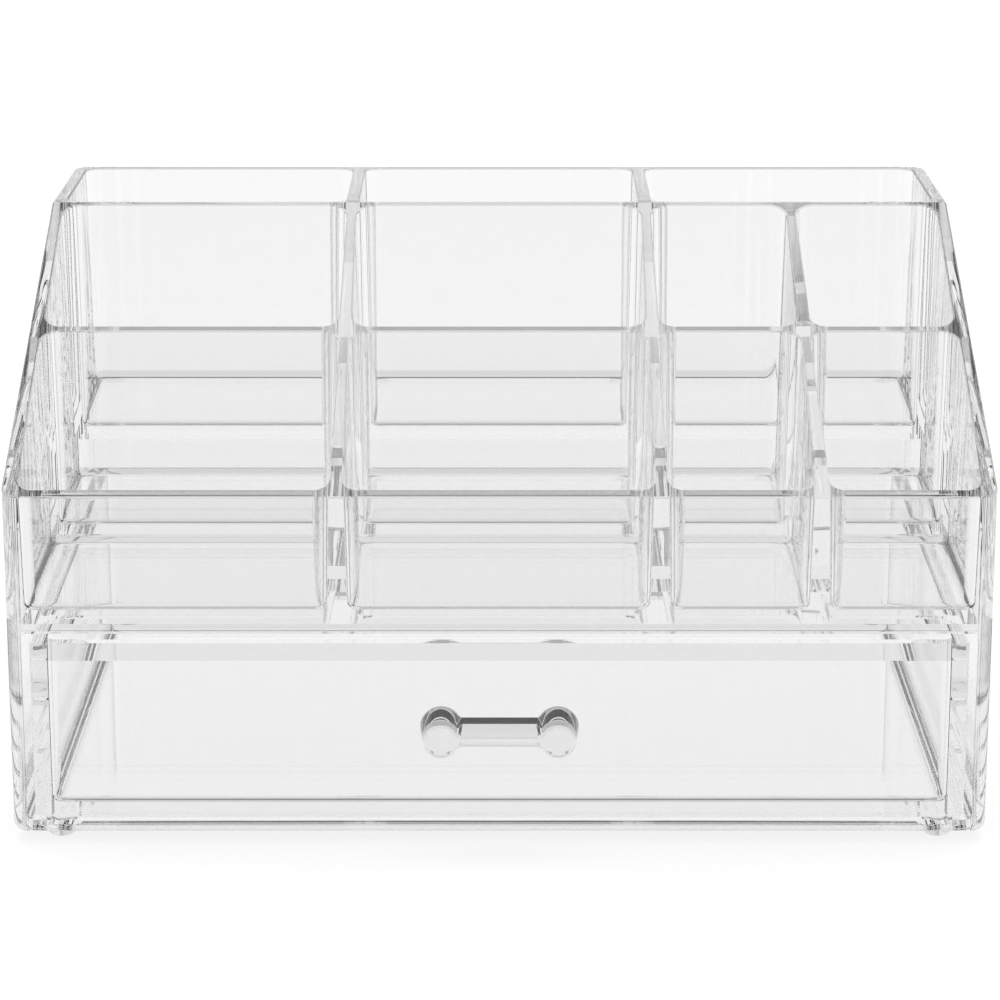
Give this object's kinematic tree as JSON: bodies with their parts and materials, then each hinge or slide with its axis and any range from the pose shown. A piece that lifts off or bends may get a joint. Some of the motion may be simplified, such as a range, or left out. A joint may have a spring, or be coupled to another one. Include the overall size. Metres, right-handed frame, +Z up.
{
  "type": "makeup organizer with drawer",
  "caption": "Clear stepped makeup organizer: rows of open pockets rising to the back over a wide drawer with a bar handle, on small dome bumpers.",
  "frame": {"origin": "on the standing surface, under the middle of the object's bounding box, handle included", "axes": "+X to the right along the drawer's front, +Y to the back, +Z up; the drawer opens along -Y"},
  "size_m": [0.2666, 0.2032, 0.1537],
  "materials": {
    "clear_plastic": "clear gloss polystyrene moulding",
    "clear_bumper": "clear soft polyurethane",
    "clear_adhesive": "clear pressure-sensitive adhesive"
  },
  "bodies": {
    "housing": {"organizer_body": "clear_plastic", "foot_front_left": "clear_bumper", "foot_front_right": "clear_bumper", "foot_rear_left": "clear_bumper", "foot_rear_right": "clear_bumper", "adhesive_front_left": "clear_adhesive", "adhesive_front_right": "clear_adhesive", "adhesive_rear_left": "clear_adhesive", "adhesive_rear_right": "clear_adhesive"},
    "drawer": {"drawer_tray": "clear_plastic", "drawer_handle": "clear_plastic"}
  },
  "joints": [
    {"name": "drawer_slide", "type": "slide", "parent": "housing", "child": "drawer", "axis": [0, -1, 0], "range_m": [0, 0.15]}
  ]
}
